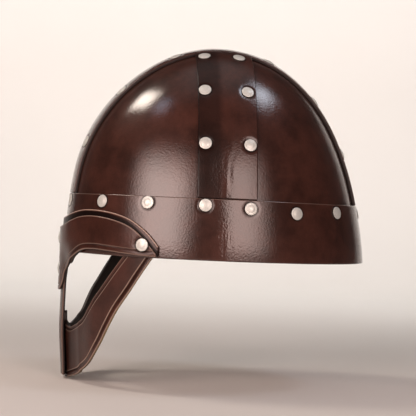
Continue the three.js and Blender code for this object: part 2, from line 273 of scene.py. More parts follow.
def linear(code):
    """Turn an sRGB hex code into the linear colour that the shaders use."""
    channels = [int(code[start : start + 2], 16) / 255 for start in (0, 2, 4)]
    return tuple(c / 12.92 if c <= 0.04045 else ((c + 0.055) / 1.055) ** 2.4 for c in channels)


class HelmetSizes(bpy.types.PropertyGroup):
    """Sizes of the leather, its tooling and the rivets"""

    band_height: bpy.props.FloatProperty(
        name="Band height",
        description="Height of the band round the head",
        default=0.0453,
        unit="LENGTH",
    )
    crest_width: bpy.props.FloatProperty(
        name="Crest strap width",
        description="Width of the strap from front to rear",
        default=0.042,
        unit="LENGTH",
    )
    side_strap_width: bpy.props.FloatProperty(
        name="Side strap width",
        description="Width of the straps at the sides",
        default=0.0445,
        unit="LENGTH",
    )
    edge_round: bpy.props.FloatProperty(
        name="Edge round",
        description="Radius that the cut edges are burnished to",
        default=0.0006,
        unit="LENGTH",
    )
    raw_edge_round: bpy.props.FloatProperty(
        name="Raw edge round",
        description="Radius of the edges that were left as cut",
        default=0.00025,
        unit="LENGTH",
    )
    groove_depth: bpy.props.FloatProperty(
        name="Groove depth",
        description="Depth of the lines tooled along the edges",
        default=0.00045,
        unit="LENGTH",
    )
    groove_width: bpy.props.FloatProperty(
        name="Groove width",
        description="Width of the lines tooled along the edges",
        default=0.0010,
        unit="LENGTH",
    )
    dimple_depth: bpy.props.FloatProperty(
        name="Dimple depth",
        description="How far a rivet presses the leather in",
        default=0.0005,
        unit="LENGTH",
    )
    cap_diameter: bpy.props.FloatProperty(
        name="Cap diameter",
        description="Diameter of a rivet's outer cap",
        default=0.0094,
        unit="LENGTH",
    )
    cap_height: bpy.props.FloatProperty(
        name="Cap height",
        description="Height of a rivet's outer cap above its rim",
        default=0.0012,
        unit="LENGTH",
    )


class HelmetColours(bpy.types.PropertyGroup):
    """Colours of the leather and the metal"""

    leather: bpy.props.FloatVectorProperty(
        name="Leather",
        description="Main colour of the dyed leather",
        default=linear("43261e"),
        subtype="COLOR",
    )
    leather_deep: bpy.props.FloatVectorProperty(
        name="Deep leather",
        description="Colour of the darker clouds in the dye",
        default=linear("2e1913"),
        subtype="COLOR",
    )
    # Also the colour of the painted highlights along arrises and groove lips
    wear_and_highlight: bpy.props.FloatVectorProperty(
        name="Worn edge",
        description="Colour where handling has rubbed an edge",
        default=linear("b29a8b"),
        subtype="COLOR",
    )
    # Also darkens the leather where shade is painted
    edge: bpy.props.FloatVectorProperty(
        name="Edge dye",
        description="Colour of the dyed cut edges",
        default=linear("0c0706"),
        subtype="COLOR",
    )
    raw: bpy.props.FloatVectorProperty(
        name="Raw edge",
        description="Colour of the undyed cut edges of the eye guard",
        default=linear("9a8458"),
        subtype="COLOR",
    )
    metal: bpy.props.FloatVectorProperty(
        name="Rivet metal",
        description="Colour of the nickel plate",
        default=linear("dbe0dd"),
        subtype="COLOR",
    )


def sizes():
    return bpy.context.scene.helmet_sizes


def colours():
    return bpy.context.scene.helmet_colours


# The skin as a surface


def smoothstep(value, low, high):
    """0 up to the low value and 1 from the high one, with a smooth change between."""
    share = min(max((value - low) / (high - low), 0.0), 1.0)
    return share * share * (3 - 2 * share)


def spline(points, share):
    """A point on the smooth cubic curve through the points, at a share of its length."""
    last = len(points) - 1
    place = min(max(share, 0.0), 1.0) * last
    index = min(int(place), last - 1)
    part = place - index
    start = points[index]
    end = points[index + 1]
    before = points[index - 1] if index > 0 else 2 * start - end
    after = points[index + 2] if index + 2 <= last else 2 * end - start
    slope = end - before
    bend = 2 * before - 5 * start + 4 * end - after
    twist = 3 * start - before - 3 * end + after
    return 0.5 * (2 * start + slope * part + bend * part**2 + twist * part**3)


SPAN_POINTS = [Vector((row["front"], row["rear"], row["side"])) for row in SPANS]


def rise_of(height):
    """The rise angle of a height. Below the rim it goes on evenly, as a negative angle."""
    return math.asin(min(height / CROWN_HEIGHT, 1.0)) if height > 0 else height / CROWN_HEIGHT


def height_of(rise):
    return CROWN_HEIGHT * (math.sin(rise) if rise > 0 else rise)


def reaches(rise):
    """How far the skin lies in front of, behind and beside the axis at a rise angle."""
    upward = min(max(rise, 0.0), QUARTER_TURN)
    return spline(SPAN_POINTS, upward / QUARTER_TURN) * math.cos(max(rise, 0.0))


def nose_bend(y, height):
    low = 1 - smoothstep(height, NOSE_BEND["full"], NOSE_BEND["from"])
    central = 1 - smoothstep(abs(y), NOSE_BEND["flat_to"], NOSE_BEND["gone_at"])
    return NOSE_BEND["per_square"] * y * y * low * central


def chin_lean(height):
    return CHIN_LEAN["in"] * (1 - smoothstep(height, CHIN_LEAN["full"], CHIN_LEAN["from"]))


def skin_point(turn, rise):
    """A point of the skin. Turn is 0 at the front and grows towards the wearer's left."""
    front, rear, side = reaches(rise)
    is_front = math.cos(turn) > 0
    x = -(front if is_front else rear) * math.cos(turn)
    y = -side * math.sin(turn)
    z = height_of(rise)
    if is_front and z < NOSE_BEND["from"]:
        x += nose_bend(y, z) + chin_lean(z)
    return Vector((x, y, z))


def skin_normal(turn, rise):
    step = 1e-3
    if math.cos(rise) < step:
        return Vector((0, 0, 1))
    across = skin_point(turn + step, rise) - skin_point(turn - step, rise)
    upward = skin_point(turn, rise + step) - skin_point(turn, rise - step)
    return across.cross(upward).normalized()


def meet_skin(origin, direction):
    """The turn and rise where a ray from inside the dome meets the skin."""
    inside = 0.0
    outside = 2 * CROWN_HEIGHT
    halvings = 32
    least_reach = 1e-9
    for _ in range(halvings):
        middle = (inside + outside) / 2
        point = origin + direction * middle
        rise = rise_of(min(point.z, CROWN_HEIGHT))
        front, rear, side = reaches(rise)
        along = -point.x / max(front if point.x < 0 else rear, least_reach)
        across = -point.y / max(side, least_reach)
        if point.z < CROWN_HEIGHT and math.hypot(along, across) < 1:
            inside = middle
        else:
            outside = middle
    return math.atan2(across, along), rise


# Rivet places


def rivet_places():
    """Turn, rise, outermost layer and innermost layer of each rivet, by group."""
    places = {"strap": [], "band": [], "brow": []}
    for hand in (1, -1):
        for row in STRAP_RIVET_ROWS:
            rise = rise_of(row["height"])
            front, rear, side = reaches(rise)
            crest_turn = math.asin(CREST_RIVET_OFFSET / side)
            turns = (
                math.acos(-row["fore"] / front),
                math.acos(-row["aft"] / rear),
                crest_turn,
                math.pi - crest_turn,
            )
            places["strap"] += [(hand * turn, rise, "strap", "panel") for turn in turns]
        for row in BAND_RIVETS:
            turn = hand * math.radians(row["turn"])
            places["band"].append((turn, rise_of(row["height"]), "strap", "panel"))
    for row in BROW_RIVETS:
        turn = math.radians(row["turn"])
        places["brow"].append((turn, rise_of(row["height"]), "brow", row["innermost"]))
    return places


RIVET_PLACES = rivet_places()


# Tooling and wear of a leather face


class EdgeLine:
    """One edge of a piece on the skin, to measure distances from."""

    def __init__(self, spots):
        self.points = [skin_point(*spot) for spot in spots]
        self.tree = KDTree(len(self.points))
        for index, point in enumerate(self.points):
            self.tree.insert(point, index)
        self.tree.balance()

    def distance(self, point):
        _, index, nearest = self.tree.find(point)
        for start in (index - 1, index):
            if 0 <= start < len(self.points) - 1:
                foot, share = intersect_point_line(point, self.points[start], self.points[start + 1])
                if 0 <= share <= 1:
                    nearest = min(nearest, (point - foot).length)
        return nearest


def line_at(value, middle, half):
    """1 at the middle of a line and 0 beyond its half width."""
    share = abs(value - middle) / half
    return (1 - share**2) ** 2 if share < 1 else 0.0


def edge_drop(distance, radius):
    """How far a burnished edge has fallen away at a distance from the cut."""
    if distance >= radius:
        return 0.0
    return radius - math.sqrt(max(radius**2 - (radius - distance) ** 2, 0.0))


def groove_drop(distance, middle):
    """Depth of a tooled line that runs at a distance from the cut."""
    return sizes().groove_depth * line_at(distance, middle, sizes().groove_width / 2)


def rivet_marks(point, centres):
    """How strongly the nearest rivet presses in the leather, darkened partly as painted shade, and how
    dark the painted shade at its rim is.
    """
    rim = sizes().cap_diameter / 2
    nearest = min((point - centre).length for centre in centres)
    pressed_and_shaded = 1 - smoothstep(nearest, DIMPLE["from"] * rim, rim + DIMPLE["beyond_rim"])
    return pressed_and_shaded, DYE_AND_SHADE["rivet_rim"] * (1 - smoothstep(nearest, rim, rim + RIM_SHADE_TO))


def arris(distance):
    """How strongly the rubbed line along a cut edge, with its painted highlight, shows at a distance
    from the cut.
    """
    return line_at(distance, ARRIS["middle"], ARRIS["half"])


def groove_lip(distance, groove):
    """How strongly the painted highlight on the far lip of a tooled line shows."""
    return line_at(distance, groove + GROOVE_LIP["beyond"], GROOVE_LIP["half"])


def raw_share(height):
    """How bare the eye guard's lower cut edge shows: less so towards its foot."""
    bare = smoothstep(height, RAW_EDGE["dark_to"], RAW_EDGE["bare_from"])
    return RAW_EDGE["foot"] + (1 - RAW_EDGE["foot"]) * bare


def groove_shade(distance, groove):
    """How strongly the painted shade in the bottom of a tooled line shows."""
    return line_at(distance, groove, GROOVE_SHADE_HALF)


# Leather sheets


def grid(columns, rows, at):
    """Cells between the columns and the rows. Seen from outside, columns run right and rows up."""
    corners = [[at(column, row) for row in rows] for column in columns]
    return [
        (corners[i][j], corners[i + 1][j], corners[i + 1][j + 1], corners[i][j + 1])
        for i in range(len(columns) - 1)
        for j in range(len(rows) - 1)
    ]


def leather_piece(name, cells, layer, relief, leather, nodes):
    """A closed leather wall over cells of the skin, with its relief, finish, painted light and
    materials.

    relief gives, at a point, a turn and a rise, how far the outer and the inner face are sunk
    and the finish there: worn line with painted highlight, black dye with painted shade, pressed
    leather darkened partly as painted shade, and raw cut edge.
    """
    numbers = {}
    outer = []
    inner = []
    finish_and_painted_light = []

    def corner(spot):
        point = skin_point(*spot)
        key = tuple(round(value * KEYS_PER_METRE) for value in point)
        if key not in numbers:
            normal = skin_normal(*spot)
            sink, inner_sink, look = relief(point, *spot)
            numbers[key] = len(outer)
            outer.append(point + normal * (LAYERS[layer]["outer"] - sink))
            inner.append(point + normal * (LAYERS[layer]["inner"] + inner_sink))
            finish_and_painted_light.append(look)
        return numbers[key]

    faces = []
    for cell in cells:
        face = []
        for spot in cell:
            number = corner(spot)
            if number not in face:
                face.append(number)
        if len(face) > 2:
            faces.append(face)
    depth = len(outer)
    # An edge that only one face has lies on the rim, where the wall joins the outer to the inner face
    edges = {(face[i - 1], face[i]) for face in faces for i in range(len(face))}
    rims = [(b, a, a + depth, b + depth) for a, b in sorted(edges) if (b, a) not in edges]
    backs = [[number + depth for number in reversed(face)] for face in faces]

    mesh = bpy.data.meshes.new(name)
    mesh.from_pydata(outer + inner, [], faces + backs + rims)
    looks = mesh.attributes.new("finish_and_painted_light", "FLOAT_COLOR", "POINT")
    looks.data.foreach_set("color", [value for look in finish_and_painted_light + finish_and_painted_light for value in look])
    for material in (leather, flesh_side(), cut_edge()):
        mesh.materials.append(material)
    counts = (len(faces), len(backs), len(rims))
    kinds = [kind for kind, count in enumerate(counts) for _ in range(count)]
    mesh.polygons.foreach_set("material_index", kinds)
    mesh.polygons.foreach_set("use_smooth", [True] * sum(counts))
    mesh.validate()
    mesh.update()
    return finished(name, mesh, nodes)


def finished(name, mesh, nodes):
    """Put a finished mesh in the scene in place of the solids that it stands for."""
    piece = bpy.data.objects.new(name, mesh)
    bpy.context.scene.collection.objects.link(piece)
    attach(piece, "root")
    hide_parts(*nodes)
    return piece


def edge_rows(radius):
    """Distances from a cut edge that draw its burnished round and its worn line well."""
    angles = (0, 30, 60, 90)
    return [radius * (1 - math.cos(math.radians(angle))) for angle in angles] + [ARRIS["end"]]


def groove_rows(middle):
    """Distances from a cut edge that draw a tooled line and the worn line beside it well."""
    half = sizes().groove_width / 2
    shares = (-1.0, -0.5, 0.0, 0.5, 1.0, 1.6, 2.2)
    return [middle + half * share for share in shares]


def spread(low, high, count):
    """A number of values in even steps from the low one to the high one."""
    return [low + (high - low) * index / (count - 1) for index in range(count)]


class FaceShape:
    """The lower and upper edge of a face piece, mirrored about the nose."""

    def __init__(self, sections):
        self.last = 2 * (len(sections) - 1)
        self.edges = {}
        for edge in ("lower", "upper"):
            left = [Vector((math.radians(row[edge][0]), row[edge][1])) for row in sections]
            right = [Vector((-place.x, place.y)) for place in reversed(left[1:])]
            self.edges[edge] = right + left

    def spot(self, edge, share):
        turn, height = spline(self.edges[edge], share)
        return turn, rise_of(height)

    def line(self, edge):
        shares = spread(0, 1, STEPS["edge_of_section"] * self.last + 1)
        return EdgeLine([self.spot(edge, share) for share in shares])

    def between(self, share, across):
        """A spot on the column at a share of the length, part of the way up."""
        low = spline(self.edges["lower"], share)
        high = spline(self.edges["upper"], share)
        turn, height = low.lerp(high, across)
        return turn, rise_of(height)

    def column(self, share):
        """The straight way from the lower to the upper edge at a share of the length."""
        return skin_point(*self.spot("upper", share)) - skin_point(*self.spot("lower", share))

    def slant(self, edge, share):
        """How much longer a column is than the true distance from an edge that it meets aslant."""
        step = 1e-3
        least_sine = 0.4
        along = skin_point(*self.spot(edge, share + step)) - skin_point(*self.spot(edge, share - step))
        sine = along.normalized().cross(self.column(share).normalized()).length
        return 1 / max(sine, least_sine)

    def rows(self, share, lower_marks, upper_marks, middle_count):
        """Shares of a column's height at true distances from both edges, with even rows between."""
        length = self.column(share).length
        most_marked = 0.9
        low = [mark * self.slant("lower", share) / length for mark in lower_marks]
        high = [mark * self.slant("upper", share) / length for mark in upper_marks]
        room = min(1.0, most_marked / (low[-1] + high[-1]))
        low = [mark * room for mark in low]
        high = [1 - mark * room for mark in reversed(high)]
        return low + spread(low[-1], high[0], middle_count + 2)[1:-1] + high

    def cells(self, shares, lower_marks, upper_marks, middle_count):
        columns = []
        for share in shares:
            rows = self.rows(share, lower_marks, upper_marks, middle_count)
            columns.append([self.between(share, across) for across in rows])
        return grid(range(len(shares)), range(len(columns[0])), lambda i, j: columns[i][j])


# Materials

# A Mix node has sockets for every kind of data, so those for colours go by number
COLOUR_A = 6
COLOUR_B = 7
MIXED_COLOUR = 2


def add_node(tree, kind, settings=None, inputs=None):
    """Add a node with its settings, and set or link its inputs."""
    node = tree.nodes.new(kind)
    for key, value in (settings or {}).items():
        setattr(node, key, value)
    for socket, value in (inputs or {}).items():
        if isinstance(value, bpy.types.NodeSocket):
            tree.links.new(value, node.inputs[socket])
        else:
            node.inputs[socket].default_value = value
    return node


def new_material(name):
    material = bpy.data.materials.new(name)
    material.use_nodes = True
    material.node_tree.nodes.clear()
    return material, material.node_tree


def opaque(colour):
    return (*colour[:3], 1.0)


def shade(name):
    return opaque(linear(SHADES[name]))


def waxed_leather(name, wax):
    """Vegetable-tanned leather, dyed dark red-brown, waxed and buffed.

    The eye gets soft clouds in the dye, fine pores that break up a sharp wax gloss, a few
    stretched wrinkles, pale rubbed edges with painted highlights, black edge dye that also paints
    shade, and darker wax round the rivets, partly painted shade, with painted shade at their rims.
    """
    if name in bpy.data.materials:
        return bpy.data.materials[name]
    material, tree = new_material(name)
    cloud_size = 0.028
    # Real pores are about 0.3 mm apart, so these are drawn coarser to show
    pore_size = 0.0014
    wrinkle_width = 0.0035
    wrinkle_squeeze = (1.0, 1.0, 0.12)
    pressed_and_shade_darkening = 0.8
    place = add_node(tree, "ShaderNodeTexCoord").outputs["Object"]
    clouds = add_node(
        tree,
        "ShaderNodeTexNoise",
        inputs={"Vector": place, "Scale": 1 / cloud_size, "Detail": 7.0, "Roughness": 0.68},
    )
    cloud_share = add_node(
        tree,
        "ShaderNodeMapRange",
        inputs={"Value": clouds.outputs["Fac"], "From Min": 0.38, "From Max": 0.62},
    )
    dyed = add_node(
        tree,
        "ShaderNodeMix",
        {"data_type": "RGBA"},
        {
            "Factor": cloud_share.outputs["Result"],
            COLOUR_A: opaque(colours().leather_deep),
            COLOUR_B: opaque(colours().leather),
        },
    )
    finish_and_painted_light = add_node(tree, "ShaderNodeAttribute", {"attribute_name": "finish_and_painted_light"})
    parts = add_node(tree, "ShaderNodeSeparateColor", inputs={"Color": finish_and_painted_light.outputs["Color"]})
    # Pale rubbed lines, which also paint highlights on arrises and groove lips
    rubbed_and_highlighted = add_node(
        tree,
        "ShaderNodeMix",
        {"data_type": "RGBA"},
        {
            "Factor": parts.outputs["Red"],
            COLOUR_A: dyed.outputs[MIXED_COLOUR],
            COLOUR_B: opaque(colours().wear_and_highlight),
        },
    )
    # Black dye, which also paints shade
    blackened = add_node(
        tree,
        "ShaderNodeMix",
        {"data_type": "RGBA"},
        {
            "Factor": parts.outputs["Green"],
            COLOUR_A: rubbed_and_highlighted.outputs[MIXED_COLOUR],
            COLOUR_B: opaque(colours().edge),
        },
    )
    # Leather pressed round the rivets goes darker, partly as painted shade
    pressed_and_shaded = add_node(
        tree,
        "ShaderNodeMath",
        {"operation": "MULTIPLY"},
        {0: parts.outputs["Blue"], 1: pressed_and_shade_darkening},
    )
    coloured = add_node(
        tree,
        "ShaderNodeMix",
        {"data_type": "RGBA"},
        {
            "Factor": pressed_and_shaded.outputs[0],
            COLOUR_A: blackened.outputs[MIXED_COLOUR],
            COLOUR_B: shade("pressed_and_shaded_leather"),
        },
    )
    pores = add_node(
        tree,
        "ShaderNodeTexNoise",
        inputs={"Vector": place, "Scale": 1 / pore_size, "Detail": 2.0, "Roughness": 0.55},
    )
    stretched = add_node(
        tree,
        "ShaderNodeMapping",
        inputs={"Vector": place, "Scale": wrinkle_squeeze},
    )
    wrinkles = add_node(
        tree,
        "ShaderNodeTexNoise",
        inputs={"Vector": stretched.outputs[0], "Scale": 1 / wrinkle_width, "Detail": 2.0},
    )
    wrinkle_share = add_node(
        tree,
        "ShaderNodeMapRange",
        inputs={"Value": clouds.outputs["Fac"], "From Min": 0.5, "From Max": 0.72, "To Max": 0.4},
    )
    pore_bump = add_node(
        tree,
        "ShaderNodeBump",
        inputs={"Height": pores.outputs["Fac"], "Strength": 0.2, "Distance": 0.0004},
    )
    bump = add_node(
        tree,
        "ShaderNodeBump",
        inputs={
            "Height": wrinkles.outputs["Fac"],
            "Strength": wrinkle_share.outputs["Result"],
            "Distance": 0.0004,
            "Normal": pore_bump.outputs["Normal"],
        },
    )
    gloss = add_node(
        tree,
        "ShaderNodeMapRange",
        inputs={
            "Value": clouds.outputs["Fac"],
            "From Min": 0.3,
            "From Max": 0.7,
            "To Min": 0.3,
            "To Max": 0.42,
        },
    )
    coat = add_node(
        tree,
        "ShaderNodeMapRange",
        inputs={"Value": parts.outputs["Green"], "To Min": wax, "To Max": 0.0},
    )
    shader = add_node(
        tree,
        "ShaderNodeBsdfPrincipled",
        inputs={
            "Base Color": coloured.outputs[MIXED_COLOUR],
            "Roughness": gloss.outputs["Result"],
            "Normal": bump.outputs["Normal"],
            "Specular IOR Level": 0.12,
            "Coat Weight": coat.outputs["Result"],
            "Coat Normal": bump.outputs["Normal"],
            "Coat IOR": 1.6,
            "Coat Roughness": 0.1,
        },
    )
    add_node(tree, "ShaderNodeOutputMaterial", inputs={"Surface": shader.outputs[0]})
    return material


def buffed_leather():
    """The dome's leather, waxed and buffed to a shine."""
    return waxed_leather("buffed_red_brown_leather", wax=1.0)


def handled_leather():
    """The face pieces' leather, its wax dulled by handling."""
    return waxed_leather("handled_red_brown_leather", wax=0.38)


def flesh_side():
    """The inner, flesh side of the hide: near black, dull and fibrous."""
    name = "black_dyed_flesh_side"
    if name in bpy.data.materials:
        return bpy.data.materials[name]
    material, tree = new_material(name)
    place = add_node(tree, "ShaderNodeTexCoord").outputs["Object"]
    fibres = add_node(
        tree,
        "ShaderNodeTexNoise",
        inputs={"Vector": place, "Scale": 1 / FIBRE_SIZE, "Detail": 3.0},
    )
    flecked = add_node(
        tree,
        "ShaderNodeMix",
        {"data_type": "RGBA"},
        {"Factor": fibres.outputs["Fac"], COLOUR_A: shade("flesh"), COLOUR_B: shade("flesh_fibre")},
    )
    bump = add_node(
        tree,
        "ShaderNodeBump",
        inputs={"Height": fibres.outputs["Fac"], "Strength": 0.4, "Distance": 0.0003},
    )
    shader = add_node(
        tree,
        "ShaderNodeBsdfPrincipled",
        inputs={
            "Base Color": flecked.outputs[MIXED_COLOUR],
            "Roughness": 0.85,
            "Normal": bump.outputs["Normal"],
        },
    )
    add_node(tree, "ShaderNodeOutputMaterial", inputs={"Surface": shader.outputs[0]})
    return material


def cut_edge():
    """Cut edge: dyed near black and burnished, or left the dull tan of the hide where it is raw."""
    name = "cut_edge"
    if name in bpy.data.materials:
        return bpy.data.materials[name]
    material, tree = new_material(name)
    place = add_node(tree, "ShaderNodeTexCoord").outputs["Object"]
    fibres = add_node(
        tree,
        "ShaderNodeTexNoise",
        inputs={"Vector": place, "Scale": 1 / FIBRE_SIZE, "Detail": 3.0},
    )
    dyed = add_node(
        tree,
        "ShaderNodeMix",
        {"data_type": "RGBA"},
        {
            "Factor": fibres.outputs["Fac"],
            COLOUR_A: opaque(colours().edge),
            COLOUR_B: shade("dyed_edge_fibre"),
        },
    )
    raw = add_node(
        tree,
        "ShaderNodeMix",
        {"data_type": "RGBA"},
        {
            "Factor": fibres.outputs["Fac"],
            COLOUR_A: opaque(colours().raw),
            COLOUR_B: shade("raw_edge_fibre"),
        },
    )
    finish_and_painted_light = add_node(tree, "ShaderNodeAttribute", {"attribute_name": "finish_and_painted_light"})
    coloured = add_node(
        tree,
        "ShaderNodeMix",
        {"data_type": "RGBA"},
        {
            "Factor": finish_and_painted_light.outputs["Alpha"],
            COLOUR_A: dyed.outputs[MIXED_COLOUR],
            COLOUR_B: raw.outputs[MIXED_COLOUR],
        },
    )
    bump = add_node(
        tree,
        "ShaderNodeBump",
        inputs={"Height": fibres.outputs["Fac"], "Strength": 0.3, "Distance": 0.0003},
    )
    shader = add_node(
        tree,
        "ShaderNodeBsdfPrincipled",
        inputs={
            "Base Color": coloured.outputs[MIXED_COLOUR],
            "Roughness": 0.48,
            "Normal": bump.outputs["Normal"],
        },
    )
    add_node(tree, "ShaderNodeOutputMaterial", inputs={"Surface": shader.outputs[0]})
    return material


def nickel_plate():
    """Nickel-plated pressed brass, lightly brushed by handling: warm, bright and a little soft."""
    name = "warm_nickel_plate"
    if name in bpy.data.materials:
        return bpy.data.materials[name]
    material, tree = new_material(name)
    # Real scuffs are about 0.2 mm wide, so these are drawn coarser to show
    scuff_size = 0.0012
    place = add_node(tree, "ShaderNodeTexCoord").outputs["Object"]
    scuffs = add_node(
        tree,
        "ShaderNodeTexNoise",
        inputs={"Vector": place, "Scale": 1 / scuff_size, "Detail": 3.0},
    )
    gloss = add_node(
        tree,
        "ShaderNodeMapRange",
        inputs={
            "Value": scuffs.outputs["Fac"],
            "From Min": 0.3,
            "From Max": 0.7,
            "To Min": 0.32,
            "To Max": 0.48,
        },
    )
    tarnish = add_node(
        tree,
        "ShaderNodeMix",
        {"data_type": "RGBA"},
        {
            "Factor": scuffs.outputs["Fac"],
            COLOUR_A: opaque(colours().metal),
            COLOUR_B: shade("tarnish"),
        },
    )
    bump = add_node(
        tree,
        "ShaderNodeBump",
        inputs={"Height": scuffs.outputs["Fac"], "Strength": 0.12, "Distance": 0.0002},
    )
    shader = add_node(
        tree,
        "ShaderNodeBsdfPrincipled",
        inputs={
            "Base Color": tarnish.outputs[MIXED_COLOUR],
            "Metallic": 0.35,
            "Roughness": gloss.outputs["Result"],
            "Normal": bump.outputs["Normal"],
        },
    )
    add_node(tree, "ShaderNodeOutputMaterial", inputs={"Surface": shader.outputs[0]})
    return material


def studio_paper():
    """Matt pale studio paper, with the faintest unevenness."""
    material, tree = new_material("pale_studio_paper")
    patches_per_metre = 3.0
    place = add_node(tree, "ShaderNodeTexCoord").outputs["Object"]
    patches = add_node(
        tree,
        "ShaderNodeTexNoise",
        inputs={"Vector": place, "Scale": patches_per_metre, "Detail": 2.0},
    )
    uneven = add_node(
        tree,
        "ShaderNodeMix",
        {"data_type": "RGBA"},
        {"Factor": patches.outputs["Fac"], COLOUR_A: shade("paper"), COLOUR_B: shade("paper_patch")},
    )
    shader = add_node(
        tree,
        "ShaderNodeBsdfPrincipled",
        inputs={"Base Color": uneven.outputs[MIXED_COLOUR], "Roughness": 0.9},
    )
    add_node(tree, "ShaderNodeOutputMaterial", inputs={"Surface": shader.outputs[0]})
    return material


# The pieces


def rivet_centres(*groups):
    return [skin_point(turn, rise) for group in groups for turn, rise, *_ in RIVET_PLACES[group]]


class HELMET_OT_panels(bpy.types.Operator):
    """Make the four moulded quarters of the dome"""

    bl_idname = "helmet.panels"
    bl_label = "Dome panels"

    def execute(self, context):
        lowest = rise_of(sizes().band_height - PANEL_TUCK)
        highest = math.radians(89.2)
        seam = math.radians(0.15)

        def plain(point, turn, rise):
            return 0.0, 0.0, (0.0, 0.0, 0.0, 0.0)

        for quarter, corner in enumerate(("front_left", "rear_left", "rear_right", "front_right")):
            first = quarter * QUARTER_TURN + seam
            last = (quarter + 1) * QUARTER_TURN - seam
            columns = spread(first, last, STEPS["panel_round"])
            rows = spread(lowest, highest, STEPS["panel_up"])
            cells = grid(columns, rows, lambda turn, rise: (turn, rise))
            name = f"panel_{corner}"
            leather_piece(f"dressed_{name}", cells, "panel", plain, buffed_leather(), [name])
        return {"FINISHED"}


class HELMET_OT_band(bpy.types.Operator):
    """Make the band round the head"""

    bl_idname = "helmet.band"
    bl_label = "Brow band"

    def execute(self, context):
        radius = sizes().edge_round
        height = sizes().band_height
        margin = edge_rows(radius)
        plain_from = 0.0021
        rows = margin + spread(plain_from, height - plain_from, STEPS["band_up"])
        rows += [height - d for d in reversed(margin)]
        centres = rivet_centres("band")

        def relief(point, turn, rise):
            to_top = height - point.z
            drop = edge_drop(max(min(point.z, to_top), 0.0), radius)
            # Painted shade round each rivet and at its rim, and a rubbed line with a painted highlight
            # on the top arris
            pressed_and_shaded, rim_shade = rivet_marks(point, centres)
            wear_and_highlight = WEAR_AND_HIGHLIGHT["band"] * arris(to_top)
            return drop + pressed_and_shaded * sizes().dimple_depth, drop, (wear_and_highlight, rim_shade, pressed_and_shaded, 0.0)

        columns = spread(0, 4 * QUARTER_TURN, STEPS["band_round"])
        cells = grid(columns, rows, lambda turn, z: (turn, rise_of(z)))
        leather_piece("dressed_brow_band", cells, "strap", relief, buffed_leather(), ["brow_band"])
        return {"FINISHED"}


class HELMET_OT_straps(bpy.types.Operator):
    """Make the crest strap and the two side straps"""

    bl_idname = "helmet.straps"
    bl_label = "Straps"

    def execute(self, context):
        foot = sizes().band_height + SEAM_GAP
        self.crest(foot)
        self.side("left", 1, foot)
        self.side("right", -1, foot)
        return {"FINISHED"}

    def across_rows(self, width):
        """Distances across a strap, close together at its rounded edges."""
        margin = edge_rows(sizes().edge_round)
        plain_from = 0.002
        middle = spread(plain_from, width - plain_from, STEPS["strap_across"])
        return margin + middle + [width - d for d in reversed(margin)]

    def along_shares(self, length, plain_from, count):
        """Shares of a strap's length, close together at its rounded ends."""
        end = [d / length for d in edge_rows(sizes().edge_round)]
        return end + spread(plain_from, 1 - plain_from, count) + [1 - d for d in reversed(end)]

    def relief(self, offset, width, foot, to_top, tone):
        """Relief of a strap: its offset across, its width, its ends, and how creased and dark it is."""
        radius = sizes().edge_round
        centres = rivet_centres("strap")

        def at(point, turn, rise):
            to_side = max(width / 2 - abs(offset(point)), 0.0)
            to_end = max(min(point.z - foot, to_top(point)), 0.0)
            drop = edge_drop(min(to_side, to_end), radius)
            # Painted shade round each rivet and at its rim
            pressed_and_shaded, rim_shade = rivet_marks(point, centres)
            crease, dye_and_shade = tone(point, to_side)
            sink = drop + crease + pressed_and_shaded * sizes().dimple_depth
            return sink, drop, (0.0, max(dye_and_shade, rim_shade), pressed_and_shaded, 0.0)

        return at

    def crest(self, foot):
        width = sizes().crest_width
        shares = self.along_shares(length=0.33, plain_from=0.006, count=STEPS["crest_strap_along"])

        def at(across, share):
            angle = share * math.pi
            origin = Vector((0, width / 2 - across, foot))
            return meet_skin(origin, Vector((-math.cos(angle), 0, math.sin(angle))))

        def no_top(point):
            return math.inf

        def even(point, to_side):
            return 0.0, 0.0

        relief = self.relief(lambda point: point.y, width, foot, no_top, even)
        cells = grid(self.across_rows(width), shares, at)
        leather_piece("dressed_crest_strap", cells, "strap", relief, buffed_leather(), ["crest_strap"])

    def side(self, which, hand, foot):
        width = sizes().side_strap_width
        top = sizes().crest_width / 2 + SEAM_GAP
        shares = self.along_shares(length=0.15, plain_from=0.015, count=STEPS["side_strap_along"])

        def at(across, share):
            x = hand * (across - width / 2)
            _, end_rise = meet_skin(Vector((x, -hand * top, foot)), Vector((0, 0, 1)))
            angle = share * math.atan2(height_of(end_rise) - foot, top)
            direction = Vector((0, -hand * math.cos(angle), math.sin(angle)))
            return meet_skin(Vector((x, 0, foot)), direction)

        def creases_dye_and_shade(point, to_side):
            wide = STRAP_CREASE["wide"]
            wave = noise.noise(Vector((point.x / wide, hand, point.z / STRAP_CREASE["long"])))
            creased = line_at(point.x, STRAP_CREASE["middle"], STRAP_CREASE["half"])
            sink = STRAP_CREASE["depth"] * wave * creased
            sink += STRAP_FLAT["depth"] * line_at(point.x, STRAP_FLAT["middle"], STRAP_FLAT["half"])
            sink *= 1 - smoothstep(point.z, STRAP_FLAT["full_to"], STRAP_FLAT["gone_at"])
            # The front half and the edges are darkened with dye and painted shade
            front = 1 - smoothstep(point.x, STRAP_DARK_FRONT["full"], STRAP_DARK_FRONT["gone"])
            edge = line_at(to_side, 0.0, STRAP_EDGE_DYE_AND_SHADE_HALF)
            dye_and_shade = DYE_AND_SHADE["strap"] + DYE_AND_SHADE["strap_front"] * front + DYE_AND_SHADE["strap_edge"] * edge
            return sink, dye_and_shade

        def to_top(point):
            return abs(point.y) - top

        relief = self.relief(lambda point: point.x, width, foot, to_top, creases_dye_and_shade)
        cells = grid(self.across_rows(width), shares, at)
        name = f"side_strap_{which}"
        leather_piece(f"dressed_{name}", cells, "strap", relief, buffed_leather(), [name])


